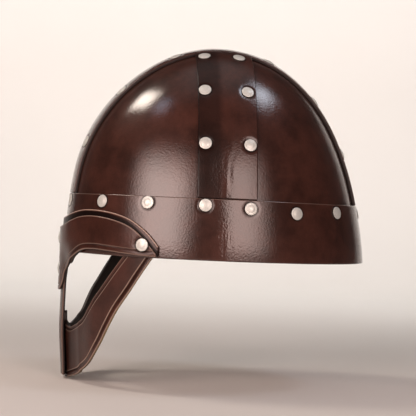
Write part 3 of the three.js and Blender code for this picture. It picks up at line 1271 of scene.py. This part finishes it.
class HELMET_OT_brow_guard(bpy.types.Operator):
    """Make the eyebrow piece with its tip on the nose"""

    bl_idname = "helmet.brow_guard"
    bl_label = "Brow guard"

    def execute(self, context):
        shape = FaceShape(BROW_SECTIONS)
        radius = sizes().edge_round
        lower = shape.line("lower")
        upper = shape.line("upper")
        centres = rivet_centres("brow")
        groove = GROOVES["brow"]

        def relief(point, turn, rise):
            to_lower = lower.distance(point)
            to_upper = upper.distance(point)
            drop = edge_drop(min(to_lower, to_upper), radius)
            line = groove_drop(to_lower, groove)
            # Painted shade in the groove and round the rivets, and rubbed lines with painted highlights
            # on the arrises and the groove's lip
            pressed_and_shaded, rim_shade = rivet_marks(point, centres)
            wear_and_highlight = WEAR_AND_HIGHLIGHT["brow_upper"] * arris(to_upper) + WEAR_AND_HIGHLIGHT["brow_lower"] * arris(to_lower)
            wear_and_highlight += WEAR_AND_HIGHLIGHT["brow_groove"] * groove_lip(to_lower, groove)
            dark = max(DYE_AND_SHADE["brow_groove"] * groove_shade(to_lower, groove), rim_shade)
            return drop + line + pressed_and_shaded * sizes().dimple_depth, drop, (wear_and_highlight, dark, pressed_and_shaded, 0.0)

        lower_marks = edge_rows(radius) + groove_rows(groove)
        shares = spread(0, 1, STEPS["brow_along"])
        cells = shape.cells(shares, lower_marks, edge_rows(radius), STEPS["brow_up"])
        leather_piece("dressed_brow_guard", cells, "brow", relief, handled_leather(), ["brow_guard"])
        return {"FINISHED"}


class HELMET_OT_nose_guard(bpy.types.Operator):
    """Make the brow backing and the strip over the nose, one piece of leather"""

    bl_idname = "helmet.nose_guard"
    bl_label = "Nose guard"

    def execute(self, context):
        shape = FaceShape(BACKING_SECTIONS)
        radius = sizes().edge_round
        margin = edge_rows(radius)
        hem_turns = [row["lower"][0] for row in BACKING_SECTIONS]
        share_half = hem_turns.index(NOSE_STRIP[0]["half_turn"]) / shape.last
        strip = [Vector((math.radians(row["half_turn"]), row["height"])) for row in NOSE_STRIP]

        def strip_spot(side, drop):
            """A spot on the strip: side from -1 to 1, drop from 0 at the hem to 1 at its end."""
            hem = spline(shape.edges["lower"], 0.5 + side * share_half)
            row = spline(strip, drop)
            height = hem.y if drop == 0 else row.y
            return hem.x * row.x / strip[0].x, rise_of(height)

        length = NOSE_TOP - NOSE_STRIP[-1]["height"]
        drops = spread(0, 1, STEPS["strip_along"])[:-1]
        drops += [1 - d / length for d in reversed(margin)]
        strip_half = 0.012
        plain_to = 0.88
        across = [1 - d / strip_half for d in margin]
        sides = [-d for d in across] + spread(-plain_to, plain_to, STEPS["strip_across"])
        sides += reversed(across)
        hem_shares = [0.5 + side * share_half for side in sides]
        wing = spread(0, 0.5 - share_half, STEPS["backing_wing_along"])[:-1]
        shares = wing + hem_shares + [1 - share for share in reversed(wing)]

        # Rows for the edge of the black strip, which is dye and painted shade
        dye_and_shade_rows = spread(BACKING_DYE_AND_SHADE["drawn_from"], BACKING_DYE_AND_SHADE["drawn_to"], STEPS["backing_dye_and_shade"])
        cells = shape.cells(shares, margin, margin + dye_and_shade_rows, STEPS["backing_up"])
        cells += [
            (strip_spot(a, low), strip_spot(b, low), strip_spot(b, high), strip_spot(a, high))
            for a, b in zip(sides, sides[1:])
            for high, low in zip(drops, drops[1:])
        ]
        upper = shape.line("upper")
        ends = spread(0, 0.5 - share_half, STEPS["edge_of_wing"])
        strip_drops = spread(0, 1, STEPS["edge_of_strip"])
        strip_sides = spread(-1, 1, STEPS["edge_of_strip_end"])
        lines = [
            EdgeLine([shape.spot("lower", share) for share in ends]),
            EdgeLine([shape.spot("lower", 1 - share) for share in ends]),
            EdgeLine([strip_spot(-1, drop) for drop in strip_drops]),
            EdgeLine([strip_spot(1, drop) for drop in strip_drops]),
            EdgeLine([strip_spot(side, 1) for side in strip_sides]),
        ]

        def relief(point, turn, rise):
            to_upper = upper.distance(point)
            to_rest = min(line.distance(point) for line in lines)
            drop = edge_drop(min(to_upper, to_rest), radius)
            # Rubbed lines with painted highlights on the arrises, and a black strip under the brow
            # guard's upper edge that is dye and painted shade
            wear_and_highlight = WEAR_AND_HIGHLIGHT["backing_upper"] * arris(to_upper) + WEAR_AND_HIGHLIGHT["backing_rest"] * arris(to_rest)
            from_nose = math.degrees(abs(turn))
            grown = smoothstep(from_nose, BACKING_DYE_AND_SHADE["grows_from"], BACKING_DYE_AND_SHADE["grown_at"])
            brown = BACKING_DYE_AND_SHADE["margin"] + BACKING_DYE_AND_SHADE["growth"] * grown
            dark = DYE_AND_SHADE["backing"] * smoothstep(to_upper, brown, brown + BACKING_DYE_AND_SHADE["soft"])
            return drop, drop, (wear_and_highlight, dark if point.z > BACKING_DYE_AND_SHADE["lowest"] else 0.0, 0.0, 0.0)

        leather_piece("dressed_nose_guard", cells, "nose", relief, handled_leather(), ["nose_guard"])
        return {"FINISHED"}


class HELMET_OT_eye_guard(bpy.types.Operator):
    """Make the curved piece under the eyes"""

    bl_idname = "helmet.eye_guard"
    bl_label = "Eye guard"

    def execute(self, context):
        shape = FaceShape(EYE_SECTIONS)
        radius = sizes().raw_edge_round
        lower = shape.line("lower")
        upper = shape.line("upper")
        lower_groove = GROOVES["eye_lower"]
        upper_groove = GROOVES["eye_upper"]

        def relief(point, turn, rise):
            to_lower = lower.distance(point)
            to_upper = upper.distance(point)
            drop = edge_drop(min(to_lower, to_upper), radius)
            line = groove_drop(to_lower, lower_groove) + groove_drop(to_upper, upper_groove)
            # Rubbed lines with painted highlights on the arrises and groove lips, and painted shade in
            # the grooves
            wear_and_highlight = WEAR_AND_HIGHLIGHT["eye_lower"] * arris(to_lower) + WEAR_AND_HIGHLIGHT["eye_upper"] * arris(to_upper)
            wear_and_highlight += WEAR_AND_HIGHLIGHT["eye_lower_groove"] * groove_lip(to_lower, lower_groove)
            wear_and_highlight += WEAR_AND_HIGHLIGHT["eye_upper_groove"] * groove_lip(to_upper, upper_groove)
            shade = groove_shade(to_lower, lower_groove) + groove_shade(to_upper, upper_groove)
            from_nose = math.degrees(abs(turn))
            # Painted shade on the front, behind the nose strip
            front = 1 - smoothstep(from_nose, EYE_DARK_FRONT["full"], EYE_DARK_FRONT["gone"])
            dulled = 1 - smoothstep(from_nose, EYE_DARK_FRONT["gone"], EYE_DARK_FRONT["dulled_to"])
            dark = DYE_AND_SHADE["eye_groove"] * shade + DYE_AND_SHADE["eye_front"] * front + DYE_AND_SHADE["eye_fold"] * dulled
            aside = abs(point.y)
            folded = 1 - smoothstep(aside, EYE_FOLD["flat_to"], EYE_FOLD["gone_at"])
            hollow = line_at(aside, EYE_HOLLOW["middle"], EYE_HOLLOW["half"])
            fold = EYE_FOLD["forward"] * folded - EYE_HOLLOW["depth"] * hollow
            raw = raw_share(point.z) if to_lower < to_upper else 0.0
            return drop + line - fold, drop + fold, (wear_and_highlight, min(dark, 1.0), 0.0, raw)

        lower_marks = edge_rows(radius) + groove_rows(lower_groove)
        upper_marks = edge_rows(radius) + groove_rows(upper_groove)
        cells = shape.cells(spread(0, 1, STEPS["eye_along"]), lower_marks, upper_marks, STEPS["eye_up"])
        leather_piece("dressed_eye_guard", cells, "eye", relief, handled_leather(), ["eye_guard"])
        return {"FINISHED"}


def rivet_tree():
    """Geometry nodes that put a domed cap, a shank and a back cap on each seat point.

    The seat points carry the outward direction and the grip, the distance between the caps.
    """
    tree = bpy.data.node_groups.new("rivets_on_seats", "GeometryNodeTree")
    sockets = (
        ("Seats", "NodeSocketGeometry"),
        ("Cap Diameter", "NodeSocketFloat"),
        ("Cap Height", "NodeSocketFloat"),
        ("Back Diameter", "NodeSocketFloat"),
        ("Shank Diameter", "NodeSocketFloat"),
        ("Metal", "NodeSocketMaterial"),
    )
    for name, kind in sockets:
        tree.interface.new_socket(name, in_out="INPUT", socket_type=kind)
    tree.interface.new_socket("Rivets", in_out="OUTPUT", socket_type="NodeSocketGeometry")
    given = add_node(tree, "NodeGroupInput").outputs

    # A cap is a ball: its upper half is lowered to a dome with a faint ring, its lower half made flat.
    place = add_node(tree, "GeometryNodeInputPosition").outputs[0]
    axes = add_node(tree, "ShaderNodeSeparateXYZ", inputs={0: place}).outputs
    flat = add_node(tree, "ShaderNodeCombineXYZ", inputs={0: axes[0], 1: axes[1]}).outputs[0]
    reach = add_node(tree, "ShaderNodeVectorMath", {"operation": "LENGTH"}, {0: flat}).outputs["Value"]
    square = add_node(tree, "ShaderNodeMath", {"operation": "MULTIPLY"}, {0: reach, 1: reach})
    dome = add_node(
        tree,
        "ShaderNodeMapRange",
        inputs={"Value": square.outputs[0], "To Min": 1.0, "To Max": CAP_DOME["rim_level"]},
    )
    past_ring = add_node(
        tree,
        "ShaderNodeMath",
        {"operation": "SUBTRACT"},
        {0: reach, 1: CAP_DOME["ring_at"]},
    )
    from_ring = add_node(tree, "ShaderNodeMath", {"operation": "ABSOLUTE"}, {0: past_ring.outputs[0]})
    ring = add_node(
        tree,
        "ShaderNodeMapRange",
        {"interpolation_type": "SMOOTHSTEP"},
        {
            "Value": from_ring.outputs[0],
            "From Max": CAP_DOME["ring_half"],
            "To Min": CAP_DOME["ring_depth"],
            "To Max": 0.0,
        },
    )
    rounded = add_node(
        tree,
        "ShaderNodeMath",
        {"operation": "SUBTRACT"},
        {0: dome.outputs[0], 1: ring.outputs[0]},
    )
    equator = 0.001
    is_top = add_node(
        tree,
        "ShaderNodeMath",
        {"operation": "GREATER_THAN"},
        {0: axes[2], 1: equator},
    )
    level = add_node(
        tree,
        "ShaderNodeMath",
        {"operation": "MULTIPLY"},
        {0: rounded.outputs[0], 1: is_top.outputs[0]},
    )

    outward = add_node(
        tree,
        "GeometryNodeInputNamedAttribute",
        {"data_type": "FLOAT_VECTOR"},
        {"Name": "outward"},
    ).outputs["Attribute"]
    grip = add_node(
        tree,
        "GeometryNodeInputNamedAttribute",
        {"data_type": "FLOAT"},
        {"Name": "grip"},
    ).outputs["Attribute"]
    inward = add_node(
        tree,
        "ShaderNodeVectorMath",
        {"operation": "SCALE"},
        {0: outward, "Scale": -1.0},
    ).outputs[0]
    to_back = add_node(
        tree,
        "ShaderNodeVectorMath",
        {"operation": "SCALE"},
        {0: inward, "Scale": grip},
    ).outputs[0]
    to_middle = add_node(
        tree,
        "ShaderNodeVectorMath",
        {"operation": "SCALE"},
        {0: to_back, "Scale": 0.5},
    ).outputs[0]

    def cap(diameter, segments, rings):
        ball = add_node(
            tree,
            "GeometryNodeMeshUVSphere",
            inputs={"Segments": segments, "Rings": rings, "Radius": 1.0},
        )
        radius = add_node(tree, "ShaderNodeMath", {"operation": "MULTIPLY"}, {0: diameter, 1: 0.5})
        wide = add_node(
            tree,
            "ShaderNodeVectorMath",
            {"operation": "SCALE"},
            {0: flat, "Scale": radius.outputs[0]},
        )
        high = add_node(
            tree,
            "ShaderNodeMath",
            {"operation": "MULTIPLY"},
            {0: level.outputs[0], 1: given["Cap Height"]},
        )
        lift = add_node(tree, "ShaderNodeCombineXYZ", inputs={2: high.outputs[0]})
        shaped = add_node(
            tree,
            "ShaderNodeVectorMath",
            {"operation": "ADD"},
            {0: wide.outputs[0], 1: lift.outputs[0]},
        )
        return add_node(
            tree,
            "GeometryNodeSetPosition",
            inputs={"Geometry": ball.outputs["Mesh"], "Position": shaped.outputs[0]},
        ).outputs[0]

    def on_seats(shape, direction, shift, stretch):
        seats = add_node(
            tree,
            "GeometryNodeSetPosition",
            inputs={"Geometry": given["Seats"], "Offset": shift},
        )
        turned = add_node(
            tree,
            "FunctionNodeAlignRotationToVector",
            {"axis": "Z"},
            {"Vector": direction},
        )
        return add_node(
            tree,
            "GeometryNodeInstanceOnPoints",
            inputs={
                "Points": seats.outputs[0],
                "Instance": shape,
                "Rotation": turned.outputs[0],
                "Scale": stretch,
            },
        ).outputs[0]

    shank_radius = add_node(
        tree,
        "ShaderNodeMath",
        {"operation": "MULTIPLY"},
        {0: given["Shank Diameter"], 1: 0.5},
    )
    shank = add_node(
        tree,
        "GeometryNodeMeshCylinder",
        inputs={"Vertices": SHANK_SIDES, "Radius": shank_radius.outputs[0], "Depth": 1.0},
    )
    shank_stretch = add_node(tree, "ShaderNodeCombineXYZ", inputs={0: 1.0, 1: 1.0, 2: grip}).outputs[0]
    same = (1.0, 1.0, 1.0)
    shapes = (
        on_seats(cap(given["Cap Diameter"], *CAP_FACES["outer"]), outward, (0.0, 0.0, 0.0), same),
        on_seats(cap(given["Back Diameter"], *CAP_FACES["back"]), inward, to_back, same),
        on_seats(shank.outputs["Mesh"], outward, to_middle, shank_stretch),
    )
    joined = add_node(tree, "GeometryNodeJoinGeometry")
    for shape in shapes:
        tree.links.new(shape, joined.inputs[0])
    realised = add_node(tree, "GeometryNodeRealizeInstances", inputs={0: joined.outputs[0]})
    smooth = add_node(tree, "GeometryNodeSetShadeSmooth", inputs={0: realised.outputs[0]})
    plated = add_node(
        tree,
        "GeometryNodeSetMaterial",
        inputs={"Geometry": smooth.outputs[0], "Material": given["Metal"]},
    )
    add_node(tree, "NodeGroupOutput", inputs={0: plated.outputs[0]})
    return tree


class HELMET_OT_rivets(bpy.types.Operator):
    """Make all the rivets"""

    bl_idname = "helmet.rivets"
    bl_label = "Rivets"

    def execute(self, context):
        back_clearance = 0.0010
        seat_sink = 0.0002
        seats = []
        outward = []
        grips = []
        for turn, rise, outermost, innermost in sum(RIVET_PLACES.values(), []):
            normal = skin_normal(turn, rise)
            seat = LAYERS[outermost]["outer"] - seat_sink
            seats.append(skin_point(turn, rise) + normal * seat)
            outward.append(normal)
            grips.append(seat - LAYERS[innermost]["inner"] + back_clearance)
        mesh = bpy.data.meshes.new("rivet_seats")
        mesh.from_pydata(seats, [], [])
        direction = mesh.attributes.new("outward", "FLOAT_VECTOR", "POINT")
        direction.data.foreach_set("vector", [value for normal in outward for value in normal])
        mesh.attributes.new("grip", "FLOAT", "POINT").data.foreach_set("value", grips)
        base = bpy.data.objects.new("rivet_seats", mesh)
        context.scene.collection.objects.link(base)

        tree = rivet_tree()
        modifier = base.modifiers.new("rivets", "NODES")
        modifier.node_group = tree
        values = {
            "Cap Diameter": sizes().cap_diameter,
            "Cap Height": sizes().cap_height,
            "Back Diameter": 0.008,
            "Shank Diameter": 0.003,
            "Metal": nickel_plate(),
        }
        for item in tree.interface.items_tree:
            if item.in_out == "INPUT" and item.name in values:
                modifier[item.identifier] = values[item.name]
        evaluated = base.evaluated_get(context.evaluated_depsgraph_get())
        caps = bpy.data.meshes.new_from_object(evaluated)
        caps.name = "dressed_rivets"
        bpy.data.objects.remove(base)
        nodes = [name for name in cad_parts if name.startswith("rivet_")]
        finished("dressed_rivets", caps, nodes)
        return {"FINISHED"}


# Stage

FLOOR = {"level": -0.1002, "near": 1.6, "far": 1.1, "half": 1.6, "sweep": 0.4, "top": 1.05}
# The camera looks level at the target, and its lens and sensor are in millimetres
CAMERA = {
    "target": (-0.004, 0.0, 0.0383),
    "distance": 1.0,
    "azimuth": -6.5,
    "roll": 2.6,
    "lens": 108.2,
    "sensor": 36.0,
}
# Softboxes and lamps: azimuth from the camera's side to its right, elevation, roll, distance, width
# and height, power, colour, and how far the glow fades in from each edge as a share of the size
LIGHTS = (
    {
        "name": "softbox_left",
        "azimuth": -31.2,
        "elevation": 19,
        "roll": 0,
        "away": 1.7,
        "size": (1.75, 1.35),
        "watts": 51,
        "colour": "ffe2d9",
        "fade": {"left": 0.41, "right": 0.38, "low": 0.08, "high": 0.43},
    },
    {
        "name": "softbox_right",
        "azimuth": 29,
        "elevation": 19,
        "roll": 0,
        "away": 1.7,
        "size": (0.98, 1.35),
        "watts": 21.5,
        "colour": "ffe2d9",
        "fade": {"left": 0.06, "right": 0.64, "low": 0.14, "high": 0.3},
    },
    {
        "name": "lamp_left",
        "azimuth": -96,
        "elevation": 52.5,
        "roll": 28,
        "away": 1.6,
        "size": (0.7, 0.4),
        "watts": 14,
        "colour": "fff0e2",
        "fade": {"left": 0.3, "right": 0.3, "low": 0.3, "high": 0.3},
    },
    {
        "name": "lamp_right",
        "azimuth": 79,
        "elevation": 61,
        "roll": 0,
        "away": 1.6,
        "size": (0.85, 0.6),
        "watts": 13,
        "colour": "e6ebf8",
        "fade": {"left": 0.5, "right": 0.5, "low": 0.5, "high": 0.5},
    },
    {
        "name": "lamp_low",
        "azimuth": -62,
        "elevation": 56.5,
        "roll": 0,
        "away": 1.6,
        "size": (0.55, 0.4),
        "watts": 1.9,
        "colour": "dfe8ff",
        "fade": {"left": 0.5, "right": 0.5, "low": 0.5, "high": 0.5},
    },
    {
        "name": "overhead",
        "azimuth": 0,
        "elevation": 89,
        "roll": 0,
        "away": 1.6,
        "size": (1.8, 1.8),
        "watts": 3.5,
        "colour": "ffffff",
        "fade": {"left": 0.4, "right": 0.4, "low": 0.4, "high": 0.4},
    },
)
BACKDROP_LIGHT = {
    "name": "backdrop_light",
    "behind": 0.8,
    "height": 0.75,
    "lean": 35,
    "size": (2.4, 0.4),
    "watts": 10,
}


class HELMET_OT_stage(bpy.types.Operator):
    """Make the floor, the lights and the camera"""

    bl_idname = "helmet.stage"
    bl_label = "Stage"

    def execute(self, context):
        scene = context.scene
        target = Vector(CAMERA["target"])
        angle = math.radians(CAMERA["azimuth"])
        forward = Vector((-math.sin(angle), math.cos(angle), 0))
        right = Vector((math.cos(angle), math.sin(angle), 0))
        up = Vector((0, 0, 1))
        self.floor(scene, forward, right)
        self.lights(scene, target, forward, right, up)
        self.backdrop_light(scene, forward, up)
        self.camera(scene, target, forward, right, up)
        scene.view_settings.view_transform = "Standard"
        return {"FINISHED"}

    def floor(self, scene, forward, right):
        """A sheet of paper that lies under the helmet and sweeps up behind it."""
        sweep = FLOOR["sweep"]
        steps = 16
        profile = [(-FLOOR["near"], 0.0)]
        for step in range(steps + 1):
            bend = QUARTER_TURN * step / steps
            profile.append((FLOOR["far"] + sweep * math.sin(bend), sweep * (1 - math.cos(bend))))
        profile.append((FLOOR["far"] + sweep, FLOOR["top"]))
        points = []
        for along, height in profile:
            for across in (-FLOOR["half"], FLOOR["half"]):
                point = forward * along + right * across
                points.append((point.x, point.y, FLOOR["level"] + height))
        faces = [(2 * i, 2 * i + 1, 2 * i + 3, 2 * i + 2) for i in range(len(profile) - 1)]
        mesh = bpy.data.meshes.new("floor")
        mesh.from_pydata(points, [], faces)
        mesh.polygons.foreach_set("use_smooth", [True] * len(faces))
        mesh.materials.append(studio_paper())
        floor = bpy.data.objects.new("floor", mesh)
        scene.collection.objects.link(floor)

    def lights(self, scene, target, forward, right, up):
        """A dim studio, with its softboxes and lamps turned towards the helmet."""
        world = bpy.data.worlds.new("studio_dark")
        world.use_nodes = True
        background = world.node_tree.nodes["Background"]
        background.inputs["Color"].default_value = shade("studio")
        background.inputs["Strength"].default_value = 0.12
        scene.world = world
        for row in LIGHTS:
            azimuth = math.radians(row["azimuth"])
            elevation = math.radians(row["elevation"])
            level = right * math.sin(azimuth) - forward * math.cos(azimuth)
            direction = level * math.cos(elevation) + up * math.sin(elevation)
            roll = Quaternion((0, 0, 1), math.radians(row["roll"]))
            turned = direction.to_track_quat("Z", "Y") @ roll
            data = self.area_light(scene, row, target + direction * row["away"], turned)
            data.color = linear(row["colour"])
            self.fade(data, row["fade"])

    def backdrop_light(self, scene, forward, up):
        """A strip that looks away from the helmet and lights only the paper behind it."""
        lean = math.radians(BACKDROP_LIGHT["lean"])
        back = up * math.sin(lean) - forward * math.cos(lean)
        place = forward * BACKDROP_LIGHT["behind"] + up * BACKDROP_LIGHT["height"]
        self.area_light(scene, BACKDROP_LIGHT, place, back.to_track_quat("Z", "Y"))

    def area_light(self, scene, row, place, turned):
        """A flat light with the row's name, size and power."""
        data = bpy.data.lights.new(row["name"], "AREA")
        data.shape = "RECTANGLE"
        data.size, data.size_y = row["size"]
        data.energy = row["watts"]
        light = bpy.data.objects.new(row["name"], data)
        light.location = place
        light.rotation_euler = turned.to_euler()
        scene.collection.objects.link(light)
        return data

    def fade(self, data, fade):
        """Let a light's glow fall off towards its edges, as behind the cloth of a softbox."""
        data.use_nodes = True
        tree = data.node_tree
        tree.nodes.clear()
        place = add_node(tree, "ShaderNodeNewGeometry").outputs["Parametric"]
        axes = add_node(tree, "ShaderNodeSeparateXYZ", inputs={0: place}).outputs
        glow = 1.0
        for axis, low, high in ((axes[0], "left", "right"), (axes[1], "low", "high")):
            for start, end in ((0.0, fade[low]), (1.0, 1.0 - fade[high])):
                edge = add_node(
                    tree,
                    "ShaderNodeMapRange",
                    {"interpolation_type": "SMOOTHSTEP"},
                    {"Value": axis, "From Min": start, "From Max": end},
                )
                glow = add_node(
                    tree,
                    "ShaderNodeMath",
                    {"operation": "MULTIPLY"},
                    {0: glow, 1: edge.outputs[0]},
                ).outputs[0]
        emission = add_node(tree, "ShaderNodeEmission", inputs={"Strength": glow})
        add_node(tree, "ShaderNodeOutputLight", inputs={0: emission.outputs[0]})

    def camera(self, scene, target, forward, right, up):
        """The camera in front of the target, rolled a little as the photo was."""
        roll = math.radians(CAMERA["roll"])
        side = right * math.cos(roll) + up * math.sin(roll)
        top = up * math.cos(roll) - right * math.sin(roll)
        data = bpy.data.cameras.new("camera")
        data.lens = CAMERA["lens"]
        data.sensor_width = CAMERA["sensor"]
        camera = bpy.data.objects.new("camera", data)
        axes = Matrix((side, top, -forward)).transposed().to_4x4()
        camera.matrix_world = Matrix.Translation(target - forward * CAMERA["distance"]) @ axes
        scene.collection.objects.link(camera)
        scene.camera = camera


class HELMET_PT_sidebar(bpy.types.Panel):
    """The helmet's sizes, colours and pieces"""

    bl_label = "Helmet"
    bl_space_type = "VIEW_3D"
    bl_region_type = "UI"
    bl_category = "Helmet"

    def draw(self, context):
        layout = self.layout
        for group in (context.scene.helmet_sizes, context.scene.helmet_colours):
            for name in group.bl_rna.properties.keys():
                if name not in ("rna_type", "name"):
                    layout.prop(group, name)
        for operator in OPERATORS:
            layout.operator(operator.bl_idname)


OPERATORS = (
    HELMET_OT_panels,
    HELMET_OT_band,
    HELMET_OT_straps,
    HELMET_OT_nose_guard,
    HELMET_OT_brow_guard,
    HELMET_OT_eye_guard,
    HELMET_OT_rivets,
    HELMET_OT_stage,
)
CLASSES = (HelmetSizes, HelmetColours, *OPERATORS, HELMET_PT_sidebar)


def register():
    for cls in CLASSES:
        bpy.utils.register_class(cls)
    bpy.types.Scene.helmet_sizes = bpy.props.PointerProperty(type=HelmetSizes)
    bpy.types.Scene.helmet_colours = bpy.props.PointerProperty(type=HelmetColours)


def unregister():
    del bpy.types.Scene.helmet_colours
    del bpy.types.Scene.helmet_sizes
    for cls in reversed(CLASSES):
        bpy.utils.unregister_class(cls)


def main():
    register()
    bpy.ops.helmet.panels()
    bpy.ops.helmet.band()
    bpy.ops.helmet.straps()
    bpy.ops.helmet.nose_guard()
    bpy.ops.helmet.brow_guard()
    bpy.ops.helmet.eye_guard()
    bpy.ops.helmet.rivets()
    bpy.ops.helmet.stage()


if __name__ == "__main__":
    main()
